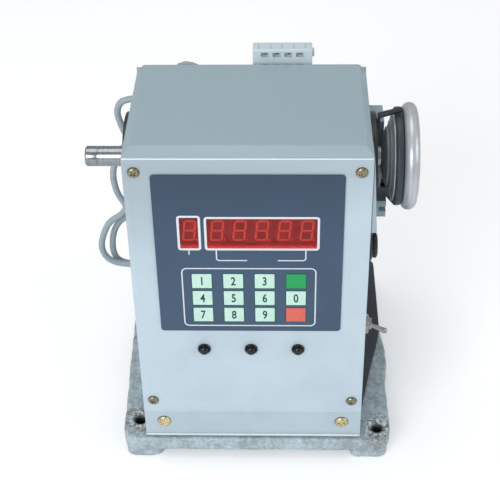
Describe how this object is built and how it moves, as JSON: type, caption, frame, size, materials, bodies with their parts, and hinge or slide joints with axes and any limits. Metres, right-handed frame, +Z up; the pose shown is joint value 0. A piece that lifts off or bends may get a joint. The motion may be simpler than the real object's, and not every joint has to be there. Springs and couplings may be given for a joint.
{
  "type": "wire coil winding machine",
  "caption": "Bench coil winder with a cast base, sheet metal case, keypad and digit windows, a winding spindle, and a belt pulley driven by a rear motor.",
  "frame": {"origin": "on the bench below the middle of the machine, its cable left out", "axes": "+Z up, +Y from the operator towards the rear, +X to the operator's right, towards the pulley"},
  "size_m": [0.2016, 0.19, 0.2423],
  "materials": {
    "hammered_paint": "grey hammered paint on a casting",
    "case_paint": "grey-green powder coat",
    "panel_paint": "pale blue-grey satin paint",
    "membrane_film": "dark blue printed film",
    "red_filter": "dark red transparent acrylic",
    "black_plastic": "black moulded plastic",
    "black_paint": "black satin paint",
    "circuit_green": "green circuit board",
    "digit_grey": "dark digit module",
    "bright_steel": "ground and polished steel",
    "bearing_steel": "ground bearing steel",
    "polished_aluminium": "turned and polished aluminium",
    "zinc_screw": "yellow zinc, worn",
    "brass_screw": "pale brass",
    "belt_rubber": "black belt rubber",
    "mat_rubber": "dark textured rubber",
    "motor_paint": "dark grey paint",
    "cable_grey": "grey cable sheath",
    "nylon_white": "milky white nylon",
    "transformer_core": "varnished laminations",
    "galvanised": "zinc plated steel"
  },
  "bodies": {
    "frame": {"base_casting": "hammered_paint", "rubber_mat": "mat_rubber", "top_cover": "case_paint", "chassis_floor": "galvanised", "rear_panel": "case_paint", "front_panel": "panel_paint", "skirt_plate": "panel_paint", "panel_screw_1": "zinc_screw", "panel_screw_2": "zinc_screw", "panel_screw_3": "zinc_screw", "panel_screw_4": "zinc_screw", "skirt_screw_1": "brass_screw", "skirt_screw_2": "brass_screw", "keypad_membrane": "membrane_film", "display_filter_small": "red_filter", "display_filter_large": "red_filter", "digit_module_1": "digit_grey", "digit_module_2": "digit_grey", "digit_module_3": "digit_grey", "digit_module_4": "digit_grey", "digit_module_5": "digit_grey", "digit_module_6": "digit_grey", "display_board": "circuit_green", "panel_standoff_1": "galvanised", "panel_standoff_2": "galvanised", "panel_standoff_3": "galvanised", "panel_standoff_4": "galvanised", "button_bezel_1": "black_plastic", "button_bezel_2": "black_plastic", "button_bezel_3": "black_plastic", "flange_left": "black_paint", "flange_right": "black_paint", "bearing_left": "bearing_steel", "bearing_right": "bearing_steel", "drive_belt": "belt_rubber", "bearing_bracket": "case_paint", "sensor_arm": "black_plastic", "toggle_body": "bright_steel", "toggle_nut": "bright_steel", "fuse_holder": "black_plastic", "motor_body": "motor_paint", "motor_bracket": "black_paint", "cable_gland": "black_plastic", "mains_inlet": "black_plastic", "wire_connector": "nylon_white", "connector_holder": "galvanised", "signal_cable": "cable_grey", "cable_hook": "galvanised", "transformer": "transformer_core", "control_board": "circuit_green"},
    "winding_spindle": {"spindle": "bright_steel", "drive_pulley": "polished_aluminium", "pulley_set_screw": "black_paint"},
    "motor_rotor": {"motor_shaft": "bright_steel", "motor_pulley": "polished_aluminium"},
    "button_left": {"button_plunger_1": "black_plastic"},
    "button_middle": {"button_plunger_2": "black_plastic"},
    "button_right": {"button_plunger_3": "black_plastic"},
    "toggle": {"toggle_lever": "bright_steel"},
    "fuse_carrier": {"fuse_cap": "black_plastic"}
  },
  "joints": [
    {"name": "spindle_spin", "type": "hinge", "parent": "frame", "child": "winding_spindle", "pos_m": [0, -0.04375, 0.2005], "axis": [1, 0, 0], "continuous": true},
    {"name": "motor_spin", "type": "hinge", "parent": "frame", "child": "motor_rotor", "pos_m": [0, 0.03925, 0.1365], "axis": [1, 0, 0], "continuous": true},
    {"name": "button_left_press", "type": "slide", "parent": "frame", "child": "button_left", "axis": [0, 1, 0], "range_m": [0, 0.002], "stiffness_N_per_m": 600, "springref_m": -0.0015},
    {"name": "button_middle_press", "type": "slide", "parent": "frame", "child": "button_middle", "axis": [0, 1, 0], "range_m": [0, 0.002], "stiffness_N_per_m": 600, "springref_m": -0.0015},
    {"name": "button_right_press", "type": "slide", "parent": "frame", "child": "button_right", "axis": [0, 1, 0], "range_m": [0, 0.002], "stiffness_N_per_m": 600, "springref_m": -0.0015},
    {"name": "toggle_flip", "type": "hinge", "parent": "frame", "child": "toggle", "pos_m": [0.0703, -0.077, 0.1007], "axis": [0, -1, 0], "range_deg": [0, 50]},
    {"name": "fuse_cap_turn", "type": "hinge", "parent": "frame", "child": "fuse_carrier", "pos_m": [0.071, -0.077, 0.1608], "axis": [1, 0, 0], "range_deg": [0, 90]}
  ],
  "couplings": [
    {"joint": "motor_spin", "follows": "spindle_spin", "ratio": 2.1146}
  ]
}
